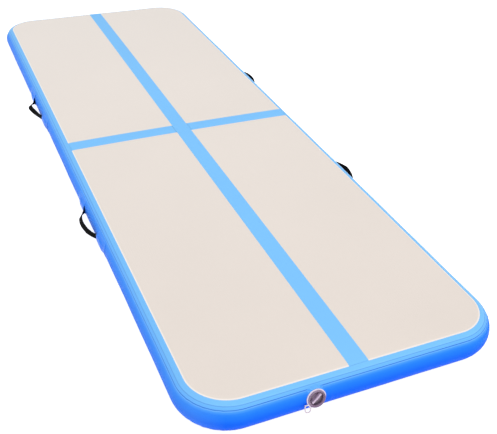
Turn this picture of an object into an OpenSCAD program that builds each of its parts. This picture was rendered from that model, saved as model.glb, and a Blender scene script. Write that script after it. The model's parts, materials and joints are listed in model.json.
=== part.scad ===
// Inflatable air track mat: drop-stitch body with half-round walls, four webbing
// handles and a capped inflation valve in the end wall at -Y.
// Millimetres, +Z up, +Y along the mat, origin at the middle of the base.

/* [Mat] */
// Length of the inflated mat
mat_l = 3000; // [2600:50:4000]
// Width of the inflated mat, handles left out
mat_w = 1000; // [900:50:1200]
// Inflated height
mat_h = 105; // [100:1:130]
// Corner radius in plan, at the widest line of the wall
corner_r = 158; // [140:2:220]
// Thickness of each coated fabric skin
skin_t = 1; // [0.8:0.1:1.2]
// Width of the flap that the inner wall strip glues under each skin
flap_w = 25; // [15:1:40]

/* [Wall bands] */
// Angle round the wall, from straight up, where the deck colour ends
band_start = 17; // [12:1:24]
// Angle where the deck skin ends, hidden under the edge band
hem_angle = 32; // [28:1:36]
// Angle where the edge band ends on the side cover
band_end = 46; // [42:1:50]
// Thickness of the edge bands
band_t = 0.8; // [0.5:0.1:1.2]

/* [Deck lines] */
// Width of the line down the deck
centre_line_w = 61; // [40:1:80]
// Width of the line across the deck
cross_line_w = 63; // [40:1:80]
// Thickness of the line strips
line_t = 0.4; // [0.3:0.1:0.8]

/* [Drop-stitch threads] */
// Rows of thread bundles across the mat
yarn_rows_x = 5; // [3:1:7]
// Rows of thread bundles along the mat
yarn_rows_y = 15; // [9:1:21]
// Diameter of one bundle
yarn_d = 6; // [3:1:8]

/* [Handles] */
// Distance of each handle's middle from the middle of the long side
handle_y = 475; // [400:5:600]
// Half the distance between the places where the webbing leaves the wall
handle_half = 88; // [84:1:110]
// How far the webbing arch stands out from the wall
handle_reach = 29; // [26:1:45]
// Webbing width
strap_w = 20; // [18:1:30]
// Webbing thickness
strap_t = 2; // [1.5:0.1:2.5]
// Half length of the free arch
loop_half = 68; // [60:1:76]
// Length of the webbing end that lies on the wall
strap_end_l = 70; // [50:1:80]
// Length of each welded patch
patch_l = 92; // [80:1:100]
// Half angle that a patch covers round the wall
patch_angle = 38; // [30:1:44]
// Thickness of the patch sheet
patch_t = 1; // [0.8:0.1:1.5]

/* [Valve] */
// Sideways place of the valve in the end wall
valve_x = -147; // [-250:1:-60]
// Upward tilt of the valve axis
valve_tilt = 12; // [0:1:15]
// Flange radius
flange_r = 28.5; // [28:0.5:31]
// Socket radius
socket_r = 21; // [20.5:0.1:21.5]
// Poppet travel
poppet_travel = 5; // [3:0.5:5]
// Turn of the finger bar in the cap, from level
bar_angle = 40; // [0:5:90]

/* [Hidden] */
$fn = 96;

LEFT = -1;
RIGHT = 1;
NEAR = -1;
FAR = 1;

cream = [0.90, 0.87, 0.83];
sky_blue = [0.54, 0.78, 1.00];
deep_blue = [0.20, 0.52, 0.98];
webbing_black = [0.06, 0.06, 0.07];
clear_pink = [0.86, 0.80, 0.84, 0.6];

// wall cross-section: a half circle about a centre line that runs round the mat
wall_r = mat_h / 2;
mid_z = mat_h / 2;
line_x = mat_w / 2 - wall_r;
line_y = mat_l / 2 - wall_r;
line_corner = corner_r - wall_r;
straight_x = line_x - line_corner;
straight_y = line_y - line_corner;
inner_r = wall_r - 2 * skin_t;
middle_r = wall_r - skin_t;

// handle arch: one circular arc through both leaving points and the reach
arc_r = (handle_half * handle_half + handle_reach * handle_reach) / (2 * handle_reach);
loop_gap = 0.4;
pocket_extra = 3;
patch_mouth = handle_half + 4;
patch_corner = 14;

// valve stations along its axis, measured out from the wall surface
boss_face = 0.6;
boss_seat = -6;
boss_skirt = -18;
boss_top_r = 31.5;
boss_root_r = 34.5;
boss_root = -14;
gasket_top = boss_face + 0.8;
flange_top = gasket_top + 2.8;
neck_r = 23.5;
bore_clear = 0.5;
neck_end = -36;
web_top = -21;
web_bottom = -24;
port_r = 12;
hub_r = 6.5;
hub_top = -19;
stem_r = 2.95;
run_clear = 0.05;
spring_solid = 4.5;
button_bottom = hub_top + spring_solid + poppet_travel;
button_top = button_bottom + 5.5;
button_r = 7;
stem_rise = 4;
seal_gap = 0.1;
disc_r = 15;
disc_t = 2.5;
seal_t = 2;
spring_r = 4.6;
wire_r = 0.45;
wire_ball = 1.06 * wire_r;
spring_turns = 4;
ring_bottom = flange_top + 0.2;
ring_top = ring_bottom + 1.4;
ring_in = 20.8;
ring_out = 25.5;
cap_bottom = ring_top + 0.2;
cap_top = cap_bottom + 2.6;
plug_r = 20.2;
plug_in = 17.4;
plug_end = -5;
dish_floor = 0;
dish_t = 1.6;
seal_w = -3;
seal_wire = 0.9;
bar_t = 5;
tether_w = 2.6;
tab_low = -14;
tab_h = 4;
tab_root = 20;
lug_l = 5;
lug_root = 9;
lug_rim = 1;
tether_lug = -25;
tether_left = -35;
tether_right = -19;
tether_low = -27;
tether_mid = (tether_left + tether_right) / 2;
tether_turn = (tether_right - tether_left) / 2;

// ---------- cross-section helpers ----------

// annular sector; angles run from straight up towards the outside
module ring_sector(r_in, r_out, from, to) {
    steps = ceil((to - from) / 30);
    fan = [for (i = [0:steps]) let (a = from + (to - from) * i / steps) 2 * r_out * [sin(a), cos(a)]];
    intersection() {
        difference() {
            circle(r = r_out);
            circle(r = r_in);
        }
        polygon(concat([[0, 0]], fan));
    }
}

// carries a section, drawn as [outward, up], along the straight end at +Y
module across_the_end() {
    translate([0, line_y, mid_z]) rotate([90, 0, 90])
        linear_extrude(height = 2 * straight_x, center = true) children();
}

// carries a section along the long side at +X and round both of its corners
module along_the_side() {
    translate([line_x, 0, mid_z]) rotate([90, 0, 0])
        linear_extrude(height = 2 * straight_y, center = true) children();
    translate([straight_x, straight_y, mid_z])
        rotate_extrude(angle = 90) translate([line_corner, 0]) children();
    translate([straight_x, -straight_y, mid_z]) rotate([0, 0, -90])
        rotate_extrude(angle = 90) translate([line_corner, 0]) children();
}

// carries a section all the way round the centre line of the wall
module round_the_mat() {
    for (turn = [0, 180]) rotate([0, 0, turn]) {
        across_the_end() children();
        along_the_side() children();
    }
}

// flat plate inside the centre line, as thick as one skin
module flat_skin() {
    linear_extrude(height = skin_t) union() {
        square([2 * line_x, 2 * straight_y], center = true);
        square([2 * straight_x, 2 * line_y], center = true);
        for (sx = [LEFT, RIGHT], sy = [NEAR, FAR])
            translate([sx * straight_x, sy * straight_y]) circle(r = line_corner);
    }
}

// places children at the valve: +Z along its axis and out of the mat, +Y up the wall
module at_valve() {
    translate([valve_x, -line_y, mid_z]) rotate([90 - valve_tilt, 0, 0])
        translate([0, 0, wall_r]) children();
}

// hole through the wall layers, the same cone as the boss
module valve_hole() {
    above = 4;
    slope = (boss_root_r - boss_top_r) / (boss_face - boss_root);
    at_valve() rotate_extrude() polygon([
        [0, boss_skirt - above], [boss_root_r, boss_skirt - above], [boss_root_r, boss_root],
        [boss_top_r - slope * above, boss_face + above], [0, boss_face + above]
    ]);
}

// ---------- mat ----------

module skin_sheet(tint, top) {
    color(tint) union() {
        translate([0, 0, top ? mat_h - skin_t : 0]) flat_skin();
        round_the_mat() ring_sector(middle_r, wall_r, top ? 0 : 180 - hem_angle, top ? hem_angle : 180);
    }
}

module deck_sheet() skin_sheet(cream, true);

module base_sheet() skin_sheet(cream, false);

module drop_stitch_yarns() {
    pitch_x = 2 * (line_x - flap_w) / yarn_rows_x;
    pitch_y = 2 * (line_y - flap_w) / yarn_rows_y;
    color("white") for (i = [0:yarn_rows_x - 1], j = [0:yarn_rows_y - 1])
        translate([(i - (yarn_rows_x - 1) / 2) * pitch_x, (j - (yarn_rows_y - 1) / 2) * pitch_y, skin_t])
            cylinder(d = yarn_d, h = mat_h - 2 * skin_t, $fn = 24);
}

// section of the inner wall strip, with the flaps that glue under the skins
module wall_section() {
    union() {
        ring_sector(inner_r, middle_r, 0, 180);
        translate([-flap_w, inner_r]) square([flap_w, skin_t]);
        translate([-flap_w, -middle_r]) square([flap_w, skin_t]);
    }
}

module wall_side_left() {
    color(sky_blue) rotate([0, 0, 180]) along_the_side() wall_section();
}

module wall_side_right() {
    color(sky_blue) along_the_side() wall_section();
}

module wall_end_far() {
    color(sky_blue) across_the_end() wall_section();
}

module wall_end_near() {
    color(sky_blue) difference() {
        rotate([0, 0, 180]) across_the_end() wall_section();
        valve_hole();
    }
}

module side_cover() {
    color(deep_blue) difference() {
        round_the_mat() ring_sector(middle_r, wall_r, hem_angle, 180 - hem_angle);
        valve_hole();
    }
}

module upper_edge_band() {
    color(sky_blue) difference() {
        round_the_mat() ring_sector(wall_r, wall_r + band_t, band_start, band_end);
        valve_hole();
    }
}

module lower_edge_band() {
    color(sky_blue) round_the_mat()
        ring_sector(wall_r, wall_r + band_t, 180 - band_end, 180 - band_start);
}

// end of a line strip, following the rounded edge down to the band; drawn for an edge at +X
module line_wrap(width) {
    rotate([90, 0, 0]) linear_extrude(height = width, center = true)
        ring_sector(wall_r, wall_r + line_t, 0, band_start);
}

module centre_line() {
    color(sky_blue) union() {
        translate([-centre_line_w / 2, -line_y, mat_h]) cube([centre_line_w, 2 * line_y, line_t]);
        for (turn = [90, -90])
            rotate([0, 0, turn]) translate([line_y, 0, mid_z]) line_wrap(centre_line_w);
    }
}

module cross_line() {
    color(sky_blue) union() {
        translate([centre_line_w / 2, -cross_line_w / 2, mat_h])
            cube([line_x - centre_line_w / 2, cross_line_w, line_t]);
        translate([line_x, 0, mid_z]) line_wrap(cross_line_w);
    }
}

module cross_line_left() rotate([0, 0, 180]) cross_line();

module cross_line_right() cross_line();

// ---------- handles ----------

// places children on a long side: +X straight out of the wall, Y along the mat
module at_handle(side, along) {
    translate([side * mat_w / 2, along * handle_y, mid_z])
        rotate([0, 0, side == LEFT ? 180 : 0]) children();
}

// webbing arch seen from above, as a ring round the arc's centre
module strap_ring() {
    translate([handle_reach - arc_r, 0]) difference() {
        circle(r = arc_r + strap_t / 2, $fn = 360);
        circle(r = arc_r - strap_t / 2, $fn = 360);
    }
}

module handle_loop(side, along) {
    color(webbing_black) at_handle(side, along) linear_extrude(height = strap_w, center = true)
        intersection() {
            strap_ring();
            translate([0, -loop_half]) square([2 * handle_reach, 2 * loop_half]);
        }
}

// the arch comes down to the wall and runs on along it
module strap_end() {
    linear_extrude(height = strap_w, center = true) union() {
        intersection() {
            strap_ring();
            translate([0, loop_half + loop_gap]) square([handle_reach, handle_half - loop_half]);
        }
        translate([0, handle_half - 3]) square([strap_t, strap_end_l + 3]);
    }
}

module handle_ends(side, along) {
    color(webbing_black) at_handle(side, along)
        for (turn = [0, 180]) rotate([turn, 0, 0]) strap_end();
}

// rod along the wall, with the wall's own centre line as its axis
module wall_rod(extra) {
    translate([-wall_r, patch_mouth - 1, 0]) rotate([-90, 0, 0])
        cylinder(r = wall_r + extra, h = patch_l + 2);
}

// outline of a patch, seen from the side of the mat, cut through the curved sheet
module patch_outline() {
    half_h = wall_r * sin(patch_angle);
    depth = 60;
    translate([-depth / 2, patch_mouth + patch_l / 2, 0]) rotate([0, 90, 0])
        linear_extrude(height = depth) union() {
            square([2 * half_h, patch_l - 2 * patch_corner], center = true);
            square([2 * half_h - 2 * patch_corner, patch_l], center = true);
            for (sx = [-1, 1], sy = [-1, 1])
                translate([sx * (half_h - patch_corner), sy * (patch_l / 2 - patch_corner)])
                    circle(r = patch_corner, $fn = 48);
        }
}

// sheet on the wall with a raised pocket over the strap's end
module handle_patch() {
    pocket_l = handle_half + strap_end_l + pocket_extra - patch_mouth;
    pocket_w = strap_w + 2 * pocket_extra;
    strap_l = pocket_l - pocket_extra;
    difference() {
        union() {
            intersection() {
                wall_rod(patch_t);
                patch_outline();
            }
            translate([-2 * strap_t, patch_mouth, -pocket_w / 2])
                cube([3 * strap_t + patch_t, pocket_l, pocket_w]);
        }
        wall_rod(0);
        translate([-2 * strap_t, patch_mouth - 1, -strap_w / 2]) cube([3 * strap_t, strap_l + 1, strap_w]);
    }
}

module handle_patches(side, along) {
    color(deep_blue) at_handle(side, along)
        for (turn = [0, 180]) rotate([turn, 0, 0]) handle_patch();
}

module handle_loop_left_near() handle_loop(LEFT, NEAR);
module handle_loop_left_far() handle_loop(LEFT, FAR);
module handle_loop_right_near() handle_loop(RIGHT, NEAR);
module handle_loop_right_far() handle_loop(RIGHT, FAR);
module handle_ends_left_near() handle_ends(LEFT, NEAR);
module handle_ends_left_far() handle_ends(LEFT, FAR);
module handle_ends_right_near() handle_ends(RIGHT, NEAR);
module handle_ends_right_far() handle_ends(RIGHT, FAR);
module handle_patches_left_near() handle_patches(LEFT, NEAR);
module handle_patches_left_far() handle_patches(LEFT, FAR);
module handle_patches_right_near() handle_patches(RIGHT, NEAR);
module handle_patches_right_far() handle_patches(RIGHT, FAR);

// ---------- valve ----------

module valve_boss() {
    color(deep_blue) at_valve() rotate_extrude() polygon([
        [neck_r + bore_clear, boss_seat], [boss_top_r, boss_seat], [boss_top_r, boss_skirt],
        [boss_root_r, boss_skirt], [boss_root_r, boss_root], [boss_top_r, boss_face],
        [neck_r + bore_clear, boss_face]
    ]);
}

module valve_body() {
    spokes = 3;
    edge = 0.8;
    color(clear_pink) at_valve() union() {
        // flange, neck and seat web in one turned section
        rotate_extrude() polygon([
            [socket_r, flange_top], [socket_r, web_top], [port_r, web_top], [port_r, web_bottom],
            [socket_r, web_bottom], [socket_r, neck_end], [neck_r, neck_end], [neck_r, gasket_top],
            [flange_r, gasket_top], [flange_r, flange_top - edge], [flange_r - edge, flange_top]
        ]);
        // lug that the tether ends on, with a root that reaches in under the cap ring
        translate([tether_right - tether_w / 2 - lug_rim, tether_lug, gasket_top]) union() {
            cube([tether_w + 2 * lug_rim, lug_root, flange_top - gasket_top]);
            cube([tether_w + 2 * lug_rim, lug_l, ring_top - gasket_top]);
        }
        // hub that guides the poppet stem
        difference() {
            union() {
                translate([0, 0, web_bottom]) cylinder(r = hub_r, h = hub_top - web_bottom);
                for (i = [0:spokes - 1]) rotate([0, 0, 360 * i / spokes + 30])
                    translate([0, -1, web_bottom]) cube([port_r + 1, 2, web_top - web_bottom]);
            }
            translate([0, 0, web_bottom - 1]) cylinder(r = stem_r + run_clear, h = hub_top - web_bottom + 2);
        }
    }
}

module flange_gasket() {
    color("white") at_valve() translate([0, 0, boss_face]) difference() {
        cylinder(r = flange_r - 2, h = gasket_top - boss_face);
        translate([0, 0, -1]) cylinder(r = neck_r, h = gasket_top - boss_face + 2);
    }
}

module valve_nut() {
    nut_r = 30.5;
    nut_t = 6;
    grips = 8;
    color("whitesmoke") at_valve() translate([0, 0, boss_seat - nut_t]) difference() {
        cylinder(r = nut_r, h = nut_t);
        translate([0, 0, -1]) cylinder(r = neck_r, h = nut_t + 2);
        for (i = [0:grips - 1]) rotate([0, 0, 360 * i / grips])
            translate([nut_r + 1, 0, -1]) cylinder(r = 3.5, h = nut_t + 2, $fn = 32);
    }
}

// coil spring: half turns, each leaning so that its ends meet the next, with a ball at each joint
module valve_spring() {
    halves = 2 * spring_turns;
    rise = (button_bottom - hub_top - 2 * wire_ball) / halves;
    lean = asin(rise / (2 * spring_r));
    color("silver") at_valve() translate([0, 0, hub_top + wire_ball]) union() {
        for (i = [0:halves - 1]) translate([0, 0, (i + 0.5) * rise]) rotate([0, lean, 180 * i])
            rotate_extrude(angle = 180) translate([spring_r, 0]) circle(r = wire_r, $fn = 24);
        for (i = [0:halves]) rotate([0, 0, 180 * i])
            translate([spring_r * cos(lean), 0, i * rise]) sphere(r = wire_ball, $fn = 24);
    }
}

module valve_poppet() {
    seat = web_bottom - seal_gap - seal_t;
    color("whitesmoke") at_valve() union() {
        translate([0, 0, seat - disc_t]) cylinder(r = disc_r - 1, h = disc_t);
        translate([0, 0, seat - disc_t]) cylinder(r = stem_r, h = button_bottom + stem_rise - seat + disc_t);
    }
}

module poppet_seal() {
    seat = web_bottom - seal_gap - seal_t;
    color("dimgray") at_valve() translate([0, 0, seat]) difference() {
        cylinder(r = disc_r, h = seal_t);
        translate([0, 0, -1]) cylinder(r = stem_r, h = seal_t + 2);
    }
}

module push_button() {
    slot_w = 2.4;
    slot_h = 1.2;
    color("whitesmoke") at_valve() difference() {
        translate([0, 0, button_bottom]) cylinder(r = button_r, h = button_top - button_bottom);
        translate([0, 0, button_bottom - 1])
            cylinder(r = stem_r + run_clear, h = stem_rise + run_clear + 1);
        translate([-button_r - 1, -slot_w / 2, button_top - slot_h])
            cube([2 * button_r + 2, slot_w, slot_h + 1]);
    }
}

module cap_ring() {
    color(clear_pink) at_valve() union() {
        translate([0, 0, ring_bottom]) difference() {
            cylinder(r = ring_out, h = ring_top - ring_bottom);
            translate([0, 0, -1]) cylinder(r = ring_in, h = ring_top - ring_bottom + 2);
        }
        // tab that the tether grows out of
        translate([tether_left - tether_w / 2, tab_low, ring_bottom])
            cube([tether_w / 2 - tether_left - tab_root, tab_h, ring_top - ring_bottom]);
    }
}

module valve_cap() {
    color(clear_pink) at_valve() union() {
        rotate_extrude() polygon([
            [plug_in, plug_end], [plug_r, plug_end], [plug_r, seal_w - seal_wire],
            [plug_r - seal_wire, seal_w - seal_wire], [plug_r - seal_wire, seal_w + seal_wire],
            [plug_r, seal_w + seal_wire], [plug_r, cap_bottom], [ring_out, cap_bottom],
            [ring_out, cap_top - 0.8], [ring_out - 0.8, cap_top], [plug_in, cap_top],
            [plug_in, dish_floor], [0, dish_floor], [0, dish_floor - dish_t],
            [plug_in, dish_floor - dish_t]
        ]);
        // finger bar across the dish
        rotate([0, 0, bar_angle]) translate([-plug_in - 1, -bar_t / 2, dish_floor - 0.5])
            cube([2 * plug_in + 2, bar_t, cap_top - dish_floor]);
    }
}

module cap_seal() {
    color("dimgray") at_valve() translate([0, 0, seal_w])
        rotate_extrude() translate([plug_r - seal_wire / 2 + 0.25, 0])
            circle(r = seal_wire / 2 + 0.2, $fn = 32);
}

// strap loop: down from the cap ring, round, and back up to the lug on the flange
module cap_tether() {
    color(clear_pink) at_valve() translate([0, 0, ring_bottom]) union() {
        translate([tether_left - tether_w / 2, tether_low, 0])
            cube([tether_w, tab_low - tether_low, ring_top - ring_bottom]);
        translate([tether_right - tether_w / 2, tether_low, 0])
            cube([tether_w, tether_lug - tether_low, ring_top - ring_bottom]);
        translate([tether_mid, tether_low, 0]) rotate([0, 0, 180]) rotate_extrude(angle = 180)
            translate([tether_turn - tether_w / 2, 0]) square([tether_w, ring_top - ring_bottom]);
    }
}

deck_sheet();
base_sheet();
drop_stitch_yarns();
wall_side_left();
wall_side_right();
wall_end_near();
wall_end_far();
side_cover();
upper_edge_band();
lower_edge_band();
centre_line();
cross_line_left();
cross_line_right();
handle_loop_left_near();
handle_loop_left_far();
handle_loop_right_near();
handle_loop_right_far();
handle_ends_left_near();
handle_ends_left_far();
handle_ends_right_near();
handle_ends_right_far();
handle_patches_left_near();
handle_patches_left_far();
handle_patches_right_near();
handle_patches_right_far();
valve_boss();
valve_body();
flange_gasket();
valve_nut();
valve_spring();
valve_poppet();
poppet_seal();
push_button();
cap_ring();
valve_cap();
cap_seal();
cap_tether();
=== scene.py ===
import json
import math

import bmesh
import bpy
import numpy as np
from mathutils import Matrix, Vector


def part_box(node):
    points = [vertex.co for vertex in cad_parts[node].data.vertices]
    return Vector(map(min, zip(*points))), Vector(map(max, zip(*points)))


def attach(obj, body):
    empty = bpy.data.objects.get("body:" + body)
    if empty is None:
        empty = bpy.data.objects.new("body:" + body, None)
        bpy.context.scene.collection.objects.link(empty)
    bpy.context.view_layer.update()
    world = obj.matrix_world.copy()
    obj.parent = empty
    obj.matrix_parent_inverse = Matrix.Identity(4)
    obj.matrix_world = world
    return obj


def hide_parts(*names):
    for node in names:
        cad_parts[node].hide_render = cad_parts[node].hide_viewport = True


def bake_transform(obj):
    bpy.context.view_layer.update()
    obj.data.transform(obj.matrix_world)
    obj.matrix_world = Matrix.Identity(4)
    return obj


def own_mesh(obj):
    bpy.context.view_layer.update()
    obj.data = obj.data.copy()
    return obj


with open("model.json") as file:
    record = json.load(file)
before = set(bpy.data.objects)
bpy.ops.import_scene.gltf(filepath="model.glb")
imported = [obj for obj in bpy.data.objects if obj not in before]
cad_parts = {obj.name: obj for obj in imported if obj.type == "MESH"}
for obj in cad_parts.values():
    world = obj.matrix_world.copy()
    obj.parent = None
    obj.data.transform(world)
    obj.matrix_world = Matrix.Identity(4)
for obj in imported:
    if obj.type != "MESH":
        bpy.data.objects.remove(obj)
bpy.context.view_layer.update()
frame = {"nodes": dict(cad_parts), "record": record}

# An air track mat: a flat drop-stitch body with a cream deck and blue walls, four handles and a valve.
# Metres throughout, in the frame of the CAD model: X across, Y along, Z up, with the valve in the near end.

record = frame["record"]
joints = {j["name"]: j for j in record["behaviour"]["joints"]}
slot_of = {s["node"]: s["material_slot"] for s in record["subparts"]}

# ---------- sizes, from the CAD ----------

MM = 0.001
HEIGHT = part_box("deck_sheet")[1].z
WALL_R = HEIGHT / 2
MID_Z = HEIGHT / 2
SKIN = 0.001
CROWN = 0.0030  # rise of the deck's middle over its edges

# the line that the wall's half circle is centred on, and its round corners
LINE_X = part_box("side_cover")[1].x - WALL_R
LINE_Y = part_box("side_cover")[1].y - WALL_R
CORNER_R = 0.158 - WALL_R
FLAT_X, FLAT_Y = LINE_X - CORNER_R, LINE_Y - CORNER_R

# angles round the wall, in degrees down from the top
BAND_FROM, HEM, BAND_TO = 17.0, 32.0, 46.0
CENTRE_W = 2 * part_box("centre_line")[1].x
CROSS_W = 2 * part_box("cross_line_right")[1].y

CAP = joints["cap_turn"]
VALVE_X = CAP["pos_m"][0]
VALVE_Z = CAP["pos_m"][2]
TILT = math.asin(CAP["axis"][2])
FLANGE_FACE = 0.0006
VALVE_HOLE = 0.0242
SEAT_EDGE, SEAT_SLOPE = 0.0340, 0.0046  # the seat round the flange: its outer radius, its slope's width


def smooth(t):
    t = np.clip(t, 0.0, 1.0)
    return t * t * (3 - 2 * t)


def bell(value, centre, width):
    return math.exp(-(((value - centre) / width) ** 2))


# ---------- mesh helpers ----------


def new_object(name, bm):
    bmesh.ops.recalc_face_normals(bm, faces=bm.faces[:])
    mesh = bpy.data.meshes.new(name)
    bm.to_mesh(mesh)
    bm.free()
    for p in mesh.polygons:
        p.use_smooth = True
    obj = bpy.data.objects.new(name, mesh)
    bpy.context.scene.collection.objects.link(obj)
    return obj


def vertex_rows(bm, rows):
    return [[bm.verts.new(Vector(p)) for p in row] for row in rows]


def join_rows(bm, one, two, closed=True):
    """Quads between two rows of vertices; closed also joins their last ones to their first ones."""
    for i in range(len(one) if closed else len(one) - 1):
        k = (i + 1) % len(one)
        bm.faces.new((one[i], one[k], two[k], two[i]))


def closed_grid(bm, outer, inner, wrap):
    """A closed body between two grids of points; wrap joins the last column to the first."""
    over, under = vertex_rows(bm, outer), vertex_rows(bm, inner)
    for grid in (over, under):
        for one, two in zip(grid, grid[1:]):
            join_rows(bm, one, two, wrap)
    for row in (0, -1):
        join_rows(bm, over[row], under[row], wrap)
    if not wrap:
        for column in (0, -1):
            join_rows(bm, [r[column] for r in over], [r[column] for r in under], False)


def sweep(bm, centres, sides, ups, section):
    """Sweeps a closed section, points (side, up), along a path and caps both ends."""
    rings = [[c + s * a + u * b for a, b in section] for c, s, u in zip(centres, sides, ups)]
    rings = vertex_rows(bm, rings)
    for one, two in zip(rings, rings[1:]):
        join_rows(bm, one, two)
    bm.faces.new(rings[0])
    bm.faces.new(rings[-1])


def rounded_section(width, height, radius, steps=3):
    pts = []
    for cx, cy, start in ((1, 1, 0), (-1, 1, 90), (-1, -1, 180), (1, -1, 270)):
        for i in range(steps + 1):
            a = math.radians(start + 90 * i / steps)
            pts.append((
                cx * (width / 2 - radius) + radius * math.cos(a),
                cy * (height / 2 - radius) + radius * math.sin(a),
            ))
    return pts


def lathe(bm, profile, place, steps=96):
    """Turns a closed profile, points (radius, along), round an axis; place maps x, y, along to the frame."""
    rings = []
    for i in range(steps):
        a = 2 * math.pi * i / steps
        rings.append([place(r * math.cos(a), r * math.sin(a), w) for r, w in profile])
    rings = vertex_rows(bm, rings)
    for i in range(steps):
        join_rows(bm, rings[i], rings[(i + 1) % steps])


# ---------- outline of the mat ----------

PATCH_HALF = 0.048  # half the width of the piece of wall that is meshed round the valve
PATCH_CELLS = 16
PATCH_START = 10  # cells of the near wall before that piece


def outline():
    """Stations round the centre line of the wall: point, outward normal, angle round a corner or None."""
    out = []

    def run(a, b, count, normal):
        for i in range(count):
            t = i / count
            out.append((a[0] + (b[0] - a[0]) * t, a[1] + (b[1] - a[1]) * t, *normal, None))

    def corner(cx, cy, start, count=22):
        for i in range(count):
            turn = 90 * i / count
            nx, ny = math.cos(math.radians(start + turn)), math.sin(math.radians(start + turn))
            out.append((cx + CORNER_R * nx, cy + CORNER_R * ny, nx, ny, turn))

    left, right = VALVE_X - PATCH_HALF, VALVE_X + PATCH_HALF
    run((-FLAT_X, -LINE_Y), (left, -LINE_Y), PATCH_START, (0, -1))
    run((left, -LINE_Y), (right, -LINE_Y), 2 * PATCH_CELLS, (0, -1))
    run((right, -LINE_Y), (FLAT_X, -LINE_Y), 24, (0, -1))
    corner(FLAT_X, -FLAT_Y, -90)
    run((LINE_X, -FLAT_Y), (LINE_X, FLAT_Y), 120, (1, 0))
    corner(FLAT_X, FLAT_Y, 0)
    run((FLAT_X, LINE_Y), (-FLAT_X, LINE_Y), 32, (0, 1))
    corner(-FLAT_X, FLAT_Y, 90)
    run((-LINE_X, FLAT_Y), (-LINE_X, -FLAT_Y), 120, (-1, 0))
    corner(-FLAT_X, -FLAT_Y, 180)
    return out


STATIONS = outline()


def ripple(x, y, turn, theta):
    """Small unevenness of the taut skin: slow waves everywhere, puckers and a crease round the corners."""
    side = math.sin(math.radians(min(max(theta, 0), 180))) ** 2
    slow = 0.00045 * math.sin(9.1 * x + 5.3 * y + 0.7) + 0.00030 * math.sin(21.0 * (x - y) + 1.9)
    out = slow * side
    if turn is not None:
        fade = math.sin(math.radians(2 * turn)) if 0 < turn < 90 else 0.0
        near = bell(theta, 56, 20) + bell(theta, 130, 18)
        out += 0.00055 * fade * near * math.sin(math.radians(turn * 34))
        out -= 0.0011 * fade * bell(theta, 61, 2.4)
    return out


def to_valve(p):
    """Row frame to the valve's own frame: sideways, up the wall, out of the wall."""
    y, z = p[1] + LINE_Y, p[2] - MID_Z
    return (
        p[0] - VALVE_X,
        y * math.sin(TILT) + z * math.cos(TILT),
        -y * math.cos(TILT) + z * math.sin(TILT) - WALL_R,
    )


def at_valve(x, y, w):
    """The valve's own frame to the row frame."""
    return Vector((
        VALVE_X + x,
        -LINE_Y - (WALL_R + w) * math.cos(TILT) + y * math.sin(TILT),
        MID_Z + (WALL_R + w) * math.sin(TILT) + y * math.cos(TILT),
    ))


VALVE_OUT = at_valve(0, 0, 1) - at_valve(0, 0, 0)


def wall_height(y):
    """Height of the round wall in the valve's frame, y up from its axis."""
    return math.sqrt(WALL_R * WALL_R - y * y) - WALL_R


def seat_lift(x, y):
    """How far the wall is raised there to make a flat seat for the valve's flange."""
    share = float(smooth((SEAT_EDGE - math.hypot(x, y)) / SEAT_SLOPE))
    return share * (FLANGE_FACE - wall_height(y))


def raised(p):
    """The wall stands up to a flat seat round the valve flange."""
    if p[1] > -LINE_Y or abs(p[0] - VALVE_X) > 0.045:
        return p
    x, y, w = to_valve(p)
    if math.hypot(x, y) > SEAT_EDGE:
        return p
    return tuple(at_valve(x, y, w + seat_lift(x, y)))


def on_wall(station, theta, radius, lift=True):
    x, y, nx, ny, turn = station
    a = math.radians(theta)
    r = radius + ripple(x, y, turn, theta)
    p = (x + nx * r * math.sin(a), y + ny * r * math.sin(a), MID_Z + r * math.cos(a))
    return raised(p) if lift else p


def crown(x, y):
    return CROWN * max(0.0, 1 - (x / LINE_X) ** 2) * max(0.0, 1 - (y / LINE_Y) ** 4)


# ---------- materials ----------

BLACK, WHITE = (0, 0, 0, 1), (1, 1, 1, 1)


def srgb(r, g, b):
    def lin(c):
        c /= 255
        return c / 12.92 if c <= 0.04045 else ((c + 0.055) / 1.055) ** 2.4

    return (lin(r), lin(g), lin(b), 1.0)


def shade(colour, k):
    return (*[min(1.0, c * k) for c in colour[:3]], 1.0)


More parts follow.
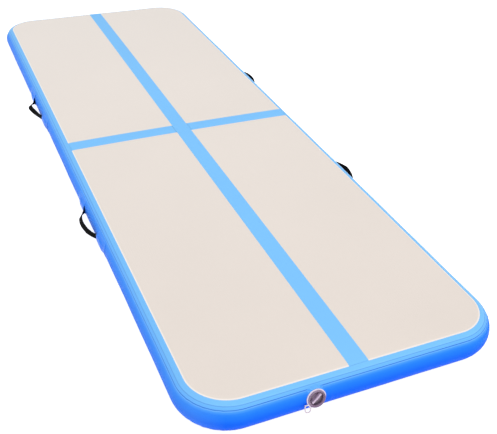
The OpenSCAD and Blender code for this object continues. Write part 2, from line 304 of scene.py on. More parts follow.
class Nodes:
    """A small builder for one procedural material, all in object coordinates."""

    def __init__(self, name, **sockets):
        self.mat = bpy.data.materials.new(name)
        self.mat.use_nodes = True
        self.tree = self.mat.node_tree
        self.shader = next(n for n in self.tree.nodes if n.type == "BSDF_PRINCIPLED")
        self.coords = self.add("TexCoord").outputs["Object"]
        self.bumped = None
        for key, value in sockets.items():
            self.shader.inputs[key.replace("_", " ")].default_value = value

    def add(self, kind):
        return self.tree.nodes.new("ShaderNode" + kind)

    def link(self, a, b):
        self.tree.links.new(a, b)

    def feed(self, socket, value):
        """Sets a socket to a constant, or joins it to another node's output."""
        if hasattr(value, "is_output"):
            self.link(value, socket)
        else:
            socket.default_value = value

    def noise(self, scale, detail=3.0, rough=0.5, stretch=(1, 1, 1)):
        mapping = self.add("Mapping")
        mapping.inputs["Scale"].default_value = stretch
        self.link(self.coords, mapping.inputs["Vector"])
        n = self.add("TexNoise")
        n.inputs["Scale"].default_value = scale
        n.inputs["Detail"].default_value = detail
        n.inputs["Roughness"].default_value = rough
        self.link(mapping.outputs["Vector"], n.inputs["Vector"])
        return n.outputs["Fac"]

    def wave(self, axis, scale, distortion=0.0):
        n = self.add("TexWave")
        n.wave_type = "BANDS"
        n.bands_direction = axis
        n.inputs["Scale"].default_value = scale
        n.inputs["Distortion"].default_value = distortion
        n.inputs["Detail"].default_value = 0.0
        self.link(self.coords, n.inputs["Vector"])
        return n.outputs["Fac"]

    def along(self, axis):
        n = self.add("SeparateXYZ")
        self.link(self.coords, n.inputs[0])
        return n.outputs[axis]

    def vector_math(self, op, a, b=None):
        n = self.add("VectorMath")
        n.operation = op
        self.link(a, n.inputs[0])
        if b is not None:
            n.inputs[1].default_value = b
        return n.outputs["Value" if op == "LENGTH" else "Vector"]

    def from_valve(self, reach):
        """Distance from the valve's axis, as a share of reach."""
        off = self.vector_math("SUBTRACT", self.coords, (VALVE_X, -LINE_Y, MID_Z))
        across = self.vector_math("CROSS_PRODUCT", off, CAP["axis"])
        return self.math("DIVIDE", self.vector_math("LENGTH", across), reach)

    def math(self, op, a, b=0.0):
        n = self.add("Math")
        n.operation = op
        self.feed(n.inputs[0], a)
        self.feed(n.inputs[1], b)
        return n.outputs[0]

    def clamp(self, value, low, high):
        return self.math("MINIMUM", self.math("MAXIMUM", value, low), high)

    def ramp(self, fac, stops):
        n = self.add("ValToRGB")
        elements = n.color_ramp.elements
        while len(elements) < len(stops):
            elements.new(0.5)
        for e, (at, colour) in zip(elements, stops):
            e.position = at
            e.color = colour
        self.link(fac, n.inputs["Fac"])
        return n.outputs["Color"]

    def mix(self, fac, a, b):
        n = self.add("Mix")
        n.data_type = "RGBA"
        for socket, value in zip([i for i in n.inputs if i.enabled], (fac, a, b)):
            self.feed(socket, value)
        return next(o for o in n.outputs if o.enabled)

    def bump(self, height, strength, distance):
        n = self.add("Bump")
        n.inputs["Strength"].default_value = strength
        n.inputs["Distance"].default_value = distance
        self.link(height, n.inputs["Height"])
        if self.bumped is not None:
            self.link(self.bumped, n.inputs["Normal"])
        self.bumped = n.outputs["Normal"]
        self.link(self.bumped, self.shader.inputs["Normal"])

    def colour(self, value):
        self.base = value
        self.link(value, self.shader.inputs["Base Color"])

    def mottle(self, fac, low, dark, high, light):
        """Base colour that drifts from dark to light."""
        self.colour(self.ramp(fac, [(low, dark), (high, light)]))

    def rough(self, fac, low, high):
        n = self.add("MapRange")
        n.inputs["To Min"].default_value = low
        n.inputs["To Max"].default_value = high
        self.link(fac, n.inputs["Value"])
        self.link(n.outputs[0], self.shader.inputs["Roughness"])


def thin_lines(places):
    """Ramp stops for thin lines, each a place, a strength and half a width; places run upwards."""
    stops = [(0.0, BLACK)]
    for at, strength, half in places:
        stops += [(at - half, BLACK), (at, (strength,) * 3 + (1,)), (at + half, BLACK)]
    return stops


# painted shadow lines and painted highlight lines along the edge seam and the hidden hem, by height off the
# middle over the full height
PAINTED_SHADOW_LINES = thin_lines([(0.347, 1.0, 0.013), (0.414, 0.5, 0.010)])
PAINTED_HIGHLIGHT_LINES = thin_lines([(0.326, 0.9, 0.008), (0.368, 0.5, 0.008), (0.432, 0.5, 0.007)])

# the walls' blue by height, from the floor to the deck: painted shade, darker towards the floor with a
# painted contact shadow at the bottom, and painted light towards the deck
PAINTED_SHADE_BLUES = [
    (0.0, (4, 36, 120)), (0.09, (4, 42, 140)), (0.14, (5, 58, 184)), (0.20, (6, 68, 200)),
    (0.27, (9, 88, 226)), (0.5, (11, 94, 232)), (0.70, (34, 122, 243)), (0.76, (46, 132, 244)),
    (0.80, (70, 150, 247)), (0.84, (84, 162, 248)), (0.93, (118, 188, 244)), (1.0, (120, 188, 240)),
]
DECK_COLOUR = srgb(218, 208, 200)
BLUE_LIGHT = srgb(119, 187, 242)
BLUE_WALL = srgb(20, 108, 244)


def blue_with_painted_light(m, colour, drift):
    """Blue with painted shade and light graded by height, painted light on the left wall, and painted shadow
    and highlight lines along the seams.
    """
    height = m.math("DIVIDE", m.along("Z"), HEIGHT)
    # painted shade and light by height, from the ramp of the walls' blue
    base = m.ramp(height, [(at, srgb(*c)) for at, c in PAINTED_SHADE_BLUES])
    base = m.mix(drift, base, shade(colour, 0.8))
    # painted light: the left wall, past x = -0.40 m, leans to a lighter blue
    left = m.clamp(m.math("DIVIDE", m.math("SUBTRACT", -0.40, m.along("X")), 0.07), 0.0, 1.0)
    base = m.mix(m.math("MULTIPLY", left, 0.22), base, srgb(104, 168, 240))
    off_middle = m.math("ABSOLUTE", m.math("SUBTRACT", height, 0.5))
    clear_of_valve = m.math("GREATER_THAN", m.from_valve(SEAT_EDGE), 1.04)
    # painted shadow lines along the seam steps, left off round the valve
    dark = m.math("MULTIPLY", m.ramp(off_middle, PAINTED_SHADOW_LINES), clear_of_valve)
    base = m.mix(m.math("MULTIPLY", dark, 0.85), base, srgb(16, 70, 176))
    # painted highlight lines along the seam ridges
    light = m.math("MULTIPLY", m.ramp(off_middle, PAINTED_HIGHLIGHT_LINES), 0.5)
    return m.mix(light, base, srgb(150, 208, 250))


def coated_fabric(name, colour, spread, low, high, grain=900, painted_shade_by_height=False, **sockets):
    """PVC over polyester: a fine square grain of the weave, slow colour drift and light scuffs."""
    m = Nodes(name, **sockets)
    drift = m.noise(2.3, 4)
    # the blue fabrics take painted shade and light by height here, instead of a plain drift
    if painted_shade_by_height:
        base = blue_with_painted_light(m, colour, m.math("MULTIPLY", drift, 2 * spread))
    else:
        base = m.ramp(drift, [(0.3, shade(colour, 1 - spread)), (0.7, shade(colour, 1 + spread))])
    fine = m.noise(160, 5, 0.6)
    base = m.mix(m.math("MULTIPLY", fine, 0.10), base, shade(colour, 0.86))
    scuff = m.ramp(m.noise(26, 6, 0.7, (1, 0.25, 1)), [(0.62, BLACK), (0.74, WHITE)])
    m.colour(m.mix(m.math("MULTIPLY", scuff, 0.10), base, shade(colour, 1.16)))
    m.rough(m.math("ADD", m.math("MULTIPLY", fine, 0.7), m.math("MULTIPLY", scuff, 0.3)), low, high)
    weave = m.math("MULTIPLY", m.wave("X", grain), m.wave("Y", grain))
    m.bump(m.math("ADD", weave, m.wave("Z", grain)), 0.16, 0.00012)
    m.bump(m.noise(420, 4, 0.6), 0.12, 0.0002)
    return m


def deck_fabric():
    """The deck's fabric grows paler to the far end, and has a painted highlight where it turns down at the
    edge.
    """
    m = coated_fabric("deck_pvc", DECK_COLOUR, 0.014, 0.5, 0.64, grain=700, Specular_IOR_Level=0.3)
    far = m.math("ADD", m.math("DIVIDE", m.along("Y"), 2 * (LINE_Y + WALL_R)), 0.5)
    paler = m.mix(m.math("MULTIPLY", far, 0.55), m.base, srgb(229, 224, 219))
    height = m.math("DIVIDE", m.along("Z"), HEIGHT)
    # painted highlight: a pale line where the deck turns down at its edge
    painted_edge_highlight = m.ramp(height, [(0.974, WHITE), (0.984, WHITE), (0.990, BLACK), (1.0, BLACK)])
    m.colour(m.mix(m.math("MULTIPLY", painted_edge_highlight, 0.6), paler, srgb(250, 241, 235)))
    m.bump(m.math("MULTIPLY", m.wave("X", 40, 0.3), m.wave("Y", 40, 0.3)), 0.10, 0.0006)
    return m


def webbing():
    m = Nodes("webbing", Specular_IOR_Level=0.05)
    weave = m.math("MULTIPLY", m.wave("Z", 130), m.wave("Y", 190, 1.5))
    m.mottle(weave, 0.1, srgb(1, 1, 2), 0.8, srgb(12, 12, 14))
    m.rough(m.noise(300, 4), 0.6, 0.85)
    m.bump(weave, 0.7, 0.0004)
    m.bump(m.noise(1500, 3), 0.3, 0.0002)
    return m


# the first colour is a painted highlight round the valve's rim; the last is painted shade in the cap's dish
PAINTED_RIM_HIGHLIGHT, MAUVE, SHADE = (250, 240, 255), (150, 122, 154), (66, 44, 72)
# clear plastic by distance from the valve's axis: a painted highlight ring from 25.8 to 29 mm, with a darker
# ring of painted shade from 23 to 25.4 mm
CLEAR_SHADES = [
    (0.0, (206, 184, 214)), (0.0190, (206, 184, 214)), (0.0230, (140, 112, 146)), (0.0254, (140, 112, 146)),
    (0.0258, PAINTED_RIM_HIGHLIGHT), (0.0290, PAINTED_RIM_HIGHLIGHT), (0.0300, (226, 212, 220)), (0.0500, (212, 196, 200)),
]
# the cap's dish by distance from the valve's axis: painted shade, darkest on its sunk wall from 14 to 18.5
# mm
CAP_SHADES = [
    (0.0, MAUVE), (0.0090, MAUVE), (0.0140, SHADE), (0.0185, SHADE), (0.0205, (128, 98, 130)),
    (0.0228, MAUVE), (0.0300, MAUVE),
]


def cloudy_plastic(name, thin, rough, shades, top=None):
    """Cloudy clear plastic; shades gives its colour by distance from the valve's axis, in metres, with
    painted highlight and painted shade in it.
    top is a colour of painted shade that its upper half leans to."""
    m = Nodes(name, IOR=1.46, Transmission_Weight=thin, Coat_Weight=0.3, Coat_Roughness=0.08)
    reach = shades[-1][0]
    tone = m.ramp(m.from_valve(reach), [(d / reach, srgb(*c)) for d, c in shades])
    if top:
        # painted shade: the upper half leans to the top colour
        above = m.math("DIVIDE", m.math("SUBTRACT", m.along("Z"), VALVE_Z - 0.006), 0.024)
        tone = m.mix(m.clamp(above, 0.0, 0.6), tone, srgb(*top))
    m.colour(m.mix(m.math("MULTIPLY", m.noise(55, 4), 0.2), tone, srgb(150, 128, 156)))
    m.rough(m.noise(120, 3), rough, rough + 0.12)
    m.bump(m.noise(240, 3), 0.08, 0.0003)
    return m


def valve_plastic():
    m = Nodes("valve_plastic")
    m.mottle(m.noise(70, 4), 0.3, srgb(222, 221, 216), 0.7, srgb(238, 237, 233))
    m.rough(m.noise(90, 3), 0.35, 0.5)
    m.bump(m.noise(900, 3), 0.1, 0.0002)
    return m


def rubber(name, dark, light):
    m = Nodes(name, Specular_IOR_Level=0.3)
    m.mottle(m.noise(180, 5), 0.35, dark, 0.7, light)
    m.rough(m.noise(140, 4), 0.6, 0.8)
    m.bump(m.noise(1100, 4), 0.25, 0.0002)
    return m


def spring_steel():
    m = Nodes("spring_steel", Metallic=1.0, Anisotropic=0.5)
    m.mottle(m.noise(400, 4), 0.3, srgb(176, 177, 180), 0.7, srgb(210, 211, 213))
    m.rough(m.noise(900, 3, 0.5, (1, 1, 6)), 0.2, 0.36)
    m.bump(m.noise(1600, 2), 0.15, 0.0001)
    return m


def yarn():
    m = Nodes("yarn", Sheen_Weight=0.3, Sheen_Roughness=0.5)
    m.mottle(m.noise(500, 4), 0.3, srgb(222, 221, 216), 0.7, srgb(244, 243, 240))
    m.rough(m.noise(300, 3), 0.75, 0.9)
    m.bump(m.noise(1000, 4, 0.6, (1, 1, 0.08)), 0.6, 0.0004)
    return m


# blue coated fabric with painted shade and light by height
def blue_fabric(name, colour, spread, low, high, shine):
    return coated_fabric(name, colour, spread, low, high, painted_shade_by_height=True, Specular_IOR_Level=shine)


materials = {
    "deck_pvc": deck_fabric(),
    "base_pvc": coated_fabric("base_pvc", srgb(214, 212, 208), 0.03, 0.55, 0.7, grain=600),
    "inner_pvc": coated_fabric("inner_pvc", srgb(120, 182, 240), 0.03, 0.5, 0.6),
    "wall_pvc": blue_fabric("wall_pvc", BLUE_WALL, 0.03, 0.4, 0.54, 0.03),
    "band_pvc": blue_fabric("band_pvc", BLUE_LIGHT, 0.02, 0.36, 0.48, 0.06),
    "line_pvc": coated_fabric("line_pvc", BLUE_LIGHT, 0.02, 0.42, 0.54, Specular_IOR_Level=0.1),
    "patch_pvc": blue_fabric("patch_pvc", BLUE_WALL, 0.03, 0.30, 0.44, 0.06),
    "yarn": yarn(),
    "webbing": webbing(),
    # both valve plastics carry painted highlight and painted shade by distance from the valve's axis; the
    # cap's dish also has painted shade on its upper half
    "clear_plastic": cloudy_plastic("clear_plastic", 0.15, 0.10, CLEAR_SHADES),
    "cap_plastic": cloudy_plastic("cap_plastic", 0.20, 0.16, CAP_SHADES, top=SHADE),
    "valve_plastic": valve_plastic(),
    "gasket_rubber": rubber("gasket_rubber", srgb(206, 205, 203), srgb(224, 223, 221)),
    "seal_rubber": rubber("seal_rubber", srgb(34, 34, 37), srgb(58, 58, 62)),
    "spring_steel": spring_steel(),
}
materials["boss_pvc"] = materials["wall_pvc"]

for name, obj in frame["nodes"].items():
    for s in obj.material_slots:
        s.link = "OBJECT"
        s.material = materials[slot_of[name]].mat


def finish_piece(obj, slot, body, *nodes):
    obj.data.materials.append(materials[slot].mat)
    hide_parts(*nodes)
    if body:
        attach(obj, body)
    return obj


# ---------- skins ----------


def skin(name, top):
    """One thin coated sheet: flat inside the wall's centre line, wrapped over the edge down to the hem."""
    bm = bmesh.new()
    wraps = [HEM - HEM * i / 10 for i in range(11)]
    shares = [1 - (i / 22) ** 1.4 for i in range(1, 23)]
    spine = LINE_Y - LINE_X  # the flat part shrinks to a line this long to either side of the middle
    rims = []
    for radius in (WALL_R, WALL_R - SKIN):
        rows = [[on_wall(s, th if top else 180 - th, radius, lift=False) for s in STATIONS] for th in wraps]
        for share in shares:
            row = []
            for x, y, *_ in STATIONS:
                at_spine = min(max(y, -spine), spine)
                px, py = x * share, at_spine + (y - at_spine) * share
                rise = crown(px, py) if top else 0.0
                row.append((px, py, MID_Z + radius + rise if top else MID_Z - radius))
            rows.append(row)
        verts = vertex_rows(bm, rows)
        for one, two in zip(verts, verts[1:]):
            join_rows(bm, one, two)
        rims.append(verts[0])
    join_rows(bm, *rims)
    bmesh.ops.remove_doubles(bm, verts=bm.verts[:], dist=1e-6)
    return new_object(name, bm)


deck_skin = finish_piece(skin("deck_skin", True), "deck_pvc", "mat", "deck_sheet")
base_skin = finish_piece(skin("base_skin", False), "base_pvc", "mat", "base_sheet")

WALL_STEP = 2.0  # degrees between the rows of the wall's mesh
PATCH_TOP, PATCH_LOW = 34, 122  # the piece of wall meshed round the valve, evenly about the valve's axis


def wall_radius(theta):
    """The wall's radius, with a groove under the band and two faint ridges."""
    groove = -0.0005 * bell(theta, BAND_TO + 1.2, 0.9)
    ridge = 0.0004 * (bell(theta, 50, 1.0) + bell(theta, 130, 1.0))
    return WALL_R + groove + ridge


def valve_patch(bm, loop):
    """Joins the square hole in the wall's mesh to the round hole that the valve comes through."""
    half_up = WALL_R * math.sin(math.radians((PATCH_LOW - PATCH_TOP) / 2))
    edge = []
    for v in loop:
        x, y, _ = to_valve(v.co)
        a = math.atan2(y / half_up, x / PATCH_HALF)
        edge.append((x, y, VALVE_HOLE * math.cos(a), VALVE_HOLE * math.sin(a)))
    previous, steps = loop, 26
    for i in range(1, steps + 1):
        t = i / steps
        ring = []
        for x, y, hx, hy in edge:
            px, py = x + (hx - x) * t, y + (hy - y) * t
            ring.append(bm.verts.new(at_valve(px, py, wall_height(py) + seat_lift(px, py))))
        join_rows(bm, previous, ring)
        previous = ring


def wall_skin():
    """The outer side skin, with a flat seat and a hole where the valve comes through."""
    bm = bmesh.new()
    thetas = np.arange(HEM, 180 - HEM + 0.1, WALL_STEP)
    grid = vertex_rows(bm, [[on_wall(s, th, wall_radius(th)) for s in STATIONS] for th in thetas])
    top_row, low_row = round((PATCH_TOP - HEM) / WALL_STEP), round((PATCH_LOW - HEM) / WALL_STEP)
    from_col, to_col = PATCH_START, PATCH_START + 2 * PATCH_CELLS
    for i, (one, two) in enumerate(zip(grid, grid[1:])):
        beside_valve = top_row <= i < low_row
        if beside_valve:
            one, two = (row[to_col:] + row[:from_col + 1] for row in (one, two))
        join_rows(bm, one, two, closed=not beside_valve)
    loop = [grid[top_row][j] for j in range(from_col, to_col)]
    loop += [grid[i][to_col] for i in range(top_row, low_row)]
    loop += [grid[low_row][j] for j in range(to_col, from_col, -1)]
    loop += [grid[i][from_col] for i in range(low_row, top_row, -1)]
    valve_patch(bm, loop)
    bmesh.ops.delete(bm, geom=[v for v in bm.verts if not v.link_faces], context="VERTS")
    obj = new_object("wall_skin", bm)
    faces = obj.data.polygons
    if sum(p.normal.dot(p.center.normalized()) > 0 for p in faces) < len(faces) / 2:
        obj.data.flip_normals()
    solid = obj.modifiers.new("thickness", "SOLIDIFY")
    solid.thickness = SKIN
    solid.offset = -1
    return obj


side_skin = finish_piece(wall_skin(), "wall_pvc", "mat", "side_cover", "valve_boss")


def edge_band(name, top):
    """A strip over the edge seam: softened borders and a step where the skin's hem ends beneath it."""
    bm = bmesh.new()
    thick, buried = 0.0008, 0.00005
    outer, inner = [], []
    for th in (17.0, 17.3, 17.9, 19, 21, 24, 27, 30, 31.4, 32.6, 34, 37, 40, 43, 45, 45.5, 45.85, 46.0):
        inside = min(th - BAND_FROM, BAND_TO - th) / 0.9
        rise = thick * (0.35 + 0.65 * math.sqrt(min(max(inside, 0.0), 1.0)))
        hem = 0.0003 * float(smooth((HEM + 0.8 - th) / 1.6)) * min(1.0, max(inside, 0.0) / 3)
        angle = th if top else 180 - th
        outer.append([on_wall(s, angle, WALL_R + rise + hem, False) for s in STATIONS])
        inner.append([on_wall(s, angle, WALL_R - buried, False) for s in STATIONS])
    closed_grid(bm, outer, inner, True)
    return new_object(name, bm)


finish_piece(edge_band("upper_band", True), "band_pvc", "mat", "upper_edge_band")
finish_piece(edge_band("lower_band", False), "band_pvc", "mat", "lower_edge_band")


def line_path(from_end, along_y):
    """Places along a line strip and angles round the wall; from_end is the side a cross line runs to."""
    reach = LINE_Y if along_y else LINE_X
    count = 140 if along_y else 46
    wraps = [BAND_FROM * (1 - i / 5) for i in range(5)]
    if from_end is None:
        path = [(-reach, -th) for th in wraps]
        path += [(-reach + 2 * reach * i / count, 0) for i in range(count + 1)]
        return path + [(reach, th) for th in reversed(wraps)]
    start = CENTRE_W / 2 * from_end
    path = [(start + (reach * from_end - start) * i / count, 0) for i in range(count + 1)]
    return path + [(reach * from_end, from_end * th) for th in reversed(wraps)]


def strip(name, width, from_end, along_y):
    """A line strip on the deck, following its crown and wrapping over the edge to the band."""
    bm = bmesh.new()
    half, thick, bevel, buried = width / 2, 0.0004, 0.001, 0.0001
    section = [(-half, 0.00008), (-half + 0.0003, 0.0003), (-half + bevel, thick)]
    section += [(-half + bevel + (width - 2 * bevel) * i / 6, thick) for i in range(1, 6)]
    section += [(half - bevel, thick), (half - 0.0003, 0.0003), (half, 0.00008)]

    def point(at, th, off, rise):
        if th:
            a = math.radians(abs(th))
            far = at + math.copysign((WALL_R + rise) * math.sin(a), th)
            z = MID_Z + (WALL_R + rise) * math.cos(a)
            return (off, far, z) if along_y else (far, off, z)
        x, y = (off, at) if along_y else (at, off)
        return (x, y, HEIGHT + crown(x, y) + rise)

    path = line_path(from_end, along_y)
    outer = [[point(at, th, off, rise) for off, rise in section] for at, th in path]
    inner = [[point(at, th, off, -buried) for off, _ in section] for at, th in path]
    closed_grid(bm, outer, inner, False)
    return new_object(name, bm)


finish_piece(strip("line_along", CENTRE_W, None, True), "line_pvc", "mat", "centre_line")
finish_piece(strip("line_across_left", CROSS_W, -1, False), "line_pvc", "mat", "cross_line_left")
finish_piece(strip("line_across_right", CROSS_W, 1, False), "line_pvc", "mat", "cross_line_right")

# ---------- handles ----------

HALF_SPAN = 0.088
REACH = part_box("handle_loop_right_near")[1].x - (LINE_X + WALL_R) - 0.001
STRAP_W, STRAP_T = 0.020, 0.0020
END_L = 0.070  # length of each end of the webbing, under its patch
ON_WALL = 0.001  # how far the webbing's middle stands off the wall there

# how the webbing lies in each handle: (place along it, share of the full reach)
STYLES = {
    "arch": [(-0.75, 0.42), (-0.4, 0.80), (0.0, 0.98), (0.3, 1.0), (0.6, 0.84), (0.85, 0.42)],
    "bent": [(-0.6, 0.34), (0.0, 0.78), (0.36, 1.0), (0.64, 0.98), (0.8, 0.60)],
    "peaked": [(-0.62, 0.44), (-0.16, 0.8), (0.2, 0.98), (0.36, 1.0), (0.6, 0.78), (0.82, 0.42)],
    "flat": [(-0.62, 0.46), (-0.2, 0.76), (0.2, 0.84), (0.55, 0.70), (0.8, 0.38)],
}


def stand_off(v, style):
    """How far the webbing stands off the wall at v along it."""
    if abs(v) >= HALF_SPAN:
        return ON_WALL
    at, share = zip((-1, 0), *STYLES[style], (1, 0))
    return max(ON_WALL, REACH * float(np.interp(v / HALF_SPAN, at, share)))


def strap(label, side, mid_y, style, droop, twist):
    """One handle's webbing from end to end; droop lowers its middle and twist leans it over, in degrees."""
    wall_x, samples = side * (LINE_X + WALL_R), 150
    vs = np.linspace(-(HALF_SPAN + END_L), HALF_SPAN + END_L, samples)
    kernel = np.exp(-np.linspace(-2, 2, 13) ** 2)
    us = np.pad([stand_off(v, style) for v in vs], 6, mode="edge")
    us = np.convolve(us, kernel / kernel.sum(), mode="valid")
    lift = smooth((us - 0.002) / (REACH * 0.8))
    centres, sides, ups = [], [], []
    for v, u, rise in zip(vs, us, lift):
        centres.append(Vector((wall_x + side * u, mid_y + v, MID_Z - droop * rise)))
    for i in range(samples):
        tangent = (centres[min(i + 1, samples - 1)] - centres[max(i - 1, 0)]).normalized()
        outward = Vector((side, 0, 0))
        outward = (outward - tangent * outward.dot(tangent)).normalized()
        leaning = math.radians(twist) * (1 + 0.6 * vs[i] / HALF_SPAN) * float(lift[i])
        turn = Matrix.Rotation(leaning, 3, tangent)
        sides.append(turn @ (tangent.cross(outward) * side))
        ups.append(turn @ outward)
    bm = bmesh.new()
    sweep(bm, centres, sides, ups, rounded_section(STRAP_W, STRAP_T, 0.0008))
    return new_object(f"strap_{label}", bm)


PATCH_L, PATCH_CORNER = 0.092, 0.014
PATCH_H = WALL_R * math.sin(math.radians(38))
PATCH_MOUTH = HALF_SPAN + 0.004  # where a patch starts, from the middle of its handle


def patch_rise(v, h, edge):
    """How far a patch's two faces stand off the wall: its rim, its weld line, the bulge over the webbing."""
    rim = SKIN * (0.35 + 0.65 * float(smooth(edge / 0.0015)))
    weld = -0.00022 * bell(edge, 0.007, 0.0012)
    over_end = float(smooth((HALF_SPAN + END_L + 0.016 - v) / 0.03))
    bulge = 0.0033 * float(smooth((0.019 - abs(h)) / 0.0075))
    bulge += 0.0009 * float(smooth((0.026 - abs(h)) / 0.014))
    rise = rim + weld + bulge * over_end
    return rise, max(0.00002, rise - rim)


def patches(label, side, mid_y):
    """The two welded patches over the ends of one handle's webbing."""
    bm = bmesh.new()
    for end in (-1, 1):
        outer, inner = [], []
        for h in PATCH_H * np.linspace(-1, 1, 41):
            into_corner = max(0.0, abs(h) - (PATCH_H - PATCH_CORNER))
            reach = PATCH_L / 2 - PATCH_CORNER + math.sqrt(max(0.0, PATCH_CORNER ** 2 - into_corner ** 2))
            angle = math.asin(h / WALL_R)
            row_out, row_in = [], []
            for a in np.linspace(-1, 1, 57):
                v = PATCH_MOUTH + PATCH_L / 2 + reach * a
                edge = min(PATCH_H - abs(h), reach * (1 - abs(a)))
                for row, rise in zip((row_out, row_in), patch_rise(v, h, edge)):
                    r = WALL_R + rise
                    x, z = side * (LINE_X + r * math.cos(angle)), MID_Z + r * math.sin(angle)
                    row.append((x, mid_y + end * v, z))
            outer.append(row_out)
            inner.append(row_in)
        closed_grid(bm, outer, inner, False)
    return new_object(f"patches_{label}", bm)


def handle(side, along, style, droop, twist):
    """One handle: its webbing and its patches."""
    label = f"{'left' if side < 0 else 'right'}_{'near' if along < 0 else 'far'}"
    mid_y = joints[f"handle_{label}_swing"]["pos_m"][1]
    loop = strap(label, side, mid_y, style, droop, twist)
    finish_piece(loop, "webbing", None, f"handle_loop_{label}", f"handle_ends_{label}")
    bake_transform(loop)
    finish_piece(patches(label, side, mid_y), "patch_pvc", "mat", f"handle_patches_{label}")


handle(-1, -1, "arch", 0.002, 26)
handle(-1, 1, "bent", 0.003, 38)
handle(1, -1, "peaked", -0.001, 50)
handle(1, 1, "flat", 0.0, 26)

# ---------- valve ----------


def softened(obj, width):
    soften = obj.modifiers.new("edges", "BEVEL")
    soften.width = width
    soften.segments = 2
    soften.limit_method = "ANGLE"
    soften.angle_limit = math.radians(40)
    return obj


def turned(name, profile, edge):
    """A round part of the cap from its profile, points (radius, height) in millimetres."""
    bm = bmesh.new()
    lathe(bm, [(r * MM, w * MM) for r, w in profile], at_valve)
    return softened(new_object(name, bm), edge)


def cap_rim():
    """The cap's thin rolled rim, which sits on the flange."""
    return turned("cap_rim", [
        (23.3, 6.0), (24.9, 6.0), (25.3, 6.3), (25.5, 6.8), (25.5, 7.6), (25.3, 8.2), (24.8, 8.55),
        (24.3, 8.6), (23.8, 8.4), (23.5, 8.0), (23.3, 7.2),
    ], 0.00012)


def cap_dish():
    """The cap's ledge, its plug and the sunk floor, turned as one piece."""
    return turned("cap_dish", [
        (0.01, -1.6), (8.0, -1.6), (16.6, -1.6), (17.4, -2.2), (17.4, -4.6), (17.8, -5.0), (19.8, -5.0),
        (20.2, -4.6), (20.2, -3.9), (19.3, -3.9), (19.3, -2.1), (20.2, -2.1), (20.2, 5.7), (20.5, 6.0),
        (23.3, 6.0), (23.3, 7.1), (22.6, 7.1), (21.2, 6.9), (20.0, 6.2), (19.0, 4.9), (18.2, 3.2),
        (17.5, 1.4), (16.6, 0.3), (15.0, 0.0), (8.0, 0.0), (0.01, 0.2),
    ], 0.00015)


BAR_ANGLE = math.radians(40)
BAR_HALF_L, BAR_LOW = 17.3, -0.4 * MM


def cap_bar():
    """The finger bar across the dish: pinched at the waist, its top edges rounded."""
    bm = bmesh.new()
    across = at_valve(-math.sin(BAR_ANGLE), math.cos(BAR_ANGLE), 0) - at_valve(0, 0, 0)
    rows = 24
    rings = []
    for i in range(rows + 1):
        s = (-BAR_HALF_L + 2 * BAR_HALF_L * i / rows) * MM
        swell = math.sin(math.pi * i / rows)
        top, waist = (5.6 + 0.9 * swell) * MM, (3.6 - 0.7 * swell) * MM
        centre = at_valve(s * math.cos(BAR_ANGLE), s * math.sin(BAR_ANGLE), 0)
        half = [
            (1.12, BAR_LOW), (1.0, 0.8 * MM), (1.0, top - 0.8 * MM), (0.9, top - 0.25 * MM), (0.7, top),
        ]
        section = half + [(-a, b) for a, b in reversed(half)]
        rings.append([centre + across * (a * waist) + VALVE_OUT * b for a, b in section])
    rings = vertex_rows(bm, rings)
    for one, two in zip(rings, rings[1:]):
        join_rows(bm, one, two)
    bm.faces.new(rings[0])
    bm.faces.new(rings[-1])
    return softened(new_object("cap_bar", bm), 0.00015)


finish_piece(cap_rim(), "clear_plastic", "cap", "valve_cap")
finish_piece(cap_dish(), "cap_plastic", "cap", "valve_cap")
finish_piece(cap_bar(), "clear_plastic", "cap", "valve_cap")

SPRING_FOOT, SPRING_HEAD = -0.0190, -0.0095  # the hub it stands on and the underside of the button


def coil_spring():
    """The valve's return spring: a wire helix with a closed coil at each end."""
    wire, radius, turns, closed = 0.00045, 0.0046, 4.5, 0.75
    low, high = SPRING_FOOT + wire, SPRING_HEAD - wire
    pitch = (high - low - 4 * closed * wire) / (turns - 2 * closed)
    count = 216
    centres, outward = [], []
    for i in range(count + 1):
        t = turns * i / count
        rise = 2 * wire * (min(t, closed) + max(t - (turns - closed), 0))
        rise += pitch * min(max(t - closed, 0), turns - 2 * closed)
        a = 2 * math.pi * t
        centres.append(at_valve(radius * math.cos(a), radius * math.sin(a), low + rise))
        outward.append(at_valve(math.cos(a), math.sin(a), 0) - at_valve(0, 0, 0))
    bm = bmesh.new()
    sweep(bm, centres, outward, [VALVE_OUT] * (count + 1), rounded_section(2 * wire, 2 * wire, wire))
    return new_object("return_spring", bm)


spring = finish_piece(coil_spring(), "spring_steel", "mat", "valve_spring")
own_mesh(spring)

# the cap's strap, in millimetres: its width, its thickness and how far its middle stands out of the wall
TETHER_W, TETHER_T, TETHER_OUT = 3.3, 1.5, 5.1


def tether():
    """The moulded strap loop between the cap ring's tab and the flange's lug."""
    path = [(-35, -12.6), (-35, -16), (-35.1, -20), (-35.1, -24)]
    for degrees in range(180, 361, 9):
        a = math.radians(degrees)
        path.append((-27 + 8.1 * math.cos(a), -27 + 8.1 * math.sin(a)))
    path += [(-19, -25.6), (-19, -24), (-19, -22.2)]
    xs, ys = zip(*path)
    samples = 96
    at = np.linspace(0, len(path) - 1, samples)
    xs, ys = np.interp(at, range(len(path)), xs), np.interp(at, range(len(path)), ys)
    centres = []
    for i, (x, y) in enumerate(zip(xs, ys)):
        bow = 0.6 * math.sin(math.pi * i / (samples - 1))
        centres.append(at_valve(x * MM, y * MM, (TETHER_OUT + bow) * MM))
    sides = []
    for i in range(samples):
        tangent = (centres[min(i + 1, samples - 1)] - centres[max(i - 1, 0)]).normalized()
        sides.append(tangent.cross(VALVE_OUT).normalized())
    bm = bmesh.new()
    section = rounded_section(TETHER_W * MM, TETHER_T * MM, 0.5 * MM, 4)
    sweep(bm, centres, sides, [VALVE_OUT] * samples, section)
    return new_object("tether_strap", bm)


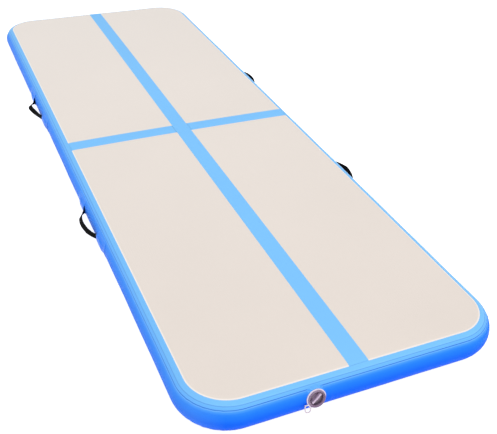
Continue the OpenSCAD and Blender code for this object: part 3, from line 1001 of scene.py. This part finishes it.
cap_strap = finish_piece(tether(), "clear_plastic", None, "cap_tether")
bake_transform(cap_strap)

# ---------- floor, light and camera ----------

FLOOR_Z, FLOOR_R = -0.001, 40.0


def floor_disc(rings=8, spokes=48):
    bm = bmesh.new()
    rows = []
    for i in range(1, rings + 1):
        r = FLOOR_R * (i / rings) ** 2
        angles = [2 * math.pi * j / spokes for j in range(spokes)]
        rows.append([(r * math.cos(a), r * math.sin(a), FLOOR_Z) for a in angles])
    rows = vertex_rows(bm, rows)
    bm.faces.new(rows[0])
    for one, two in zip(rows, rows[1:]):
        join_rows(bm, one, two)
    return new_object("floor", bm)


def floor_material():
    """Pale and matt, and glowing a little, so that it is as white as the photograph's background."""
    m = Nodes("floor", Specular_IOR_Level=0.1, Emission_Color=(1, 0.985, 0.95, 1), Emission_Strength=0.85)
    m.mottle(m.noise(1.2, 3), 0.3, (0.55, 0.545, 0.53, 1), 0.7, (0.58, 0.575, 0.56, 1))
    m.rough(m.noise(4, 3), 0.85, 0.95)
    return m


floor = floor_disc()
floor.data.materials.append(floor_material().mat)


def studio_world(strength):
    world = bpy.data.worlds.new("studio")
    world.use_nodes = True
    background = world.node_tree.nodes["Background"]
    background.inputs["Color"].default_value = WHITE
    background.inputs["Strength"].default_value = strength
    bpy.context.scene.world = world


def soft_light(name, place, target, size, power):
    data = bpy.data.lights.new(name, "AREA")
    data.shape = "DISK"
    data.size = size
    data.energy = power
    obj = bpy.data.objects.new(name, data)
    obj.location = place
    obj.rotation_euler = (Vector(target) - Vector(place)).to_track_quat("-Z", "Y").to_euler()
    bpy.context.scene.collection.objects.link(obj)


def add_camera(place, azimuth, elevation, roll, focal_length):
    """A camera at a place, looking from azimuth and elevation and rolled about its axis, all in degrees."""
    azimuth, elevation, roll = (math.radians(a) for a in (azimuth, elevation, roll))
    right = Vector((math.cos(azimuth), math.sin(azimuth), 0))
    level = Vector((math.sin(azimuth), -math.cos(azimuth), 0))
    back = level * math.cos(elevation) + Vector((0, 0, math.sin(elevation)))
    up = back.cross(right)
    side_axis = right * math.cos(roll) + up * math.sin(roll)
    up_axis = up * math.cos(roll) - right * math.sin(roll)
    lens = bpy.data.cameras.new("camera")
    lens.sensor_width = 36
    lens.lens = focal_length
    lens.clip_end = 60
    camera = bpy.data.objects.new("camera", lens)
    rows = [(side_axis[i], up_axis[i], back[i], place[i]) for i in range(3)]
    camera.matrix_world = Matrix(rows + [(0, 0, 0, 1)])
    bpy.context.scene.collection.objects.link(camera)
    bpy.context.scene.camera = camera


studio_world(0.74)
soft_light("overhead", (-0.3, 0.4, 4.8), (0, 0, 0), 4.5, 90)
soft_light("front_key", (0.8, -4.8, 2.8), (0, -0.4, 0), 3.0, 50)
bpy.context.scene.view_settings.view_transform = "Standard"
add_camera((-0.9301, -2.7431, 1.6021), -24.486, 33.729, 2.234, 56.57)
